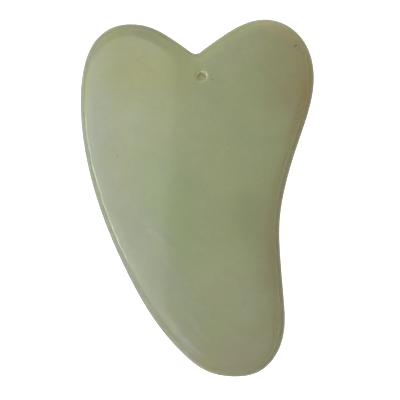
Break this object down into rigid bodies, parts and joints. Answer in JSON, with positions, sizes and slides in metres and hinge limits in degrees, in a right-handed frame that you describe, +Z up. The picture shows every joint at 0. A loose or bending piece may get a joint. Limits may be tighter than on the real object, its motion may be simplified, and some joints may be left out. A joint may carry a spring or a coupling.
{
  "type": "gua sha scraper",
  "caption": "Flat heart-shaped jade massage board with a long curved edge, a hollow waist, rounded edges all round and one small hanging hole.",
  "frame": {"origin": "middle of the bounding box in X and Y, on the underside that the board rests on", "axes": "+Y along the board from the toe towards the two lobes, +Z up through the thickness, +X towards the side with the hollow waist"},
  "size_m": [0.059, 0.09, 0.006],
  "materials": {
    "jade": "polished translucent pale green stone"
  },
  "bodies": {
    "root": {"scraper_body": "jade"}
  },
  "joints": []
}
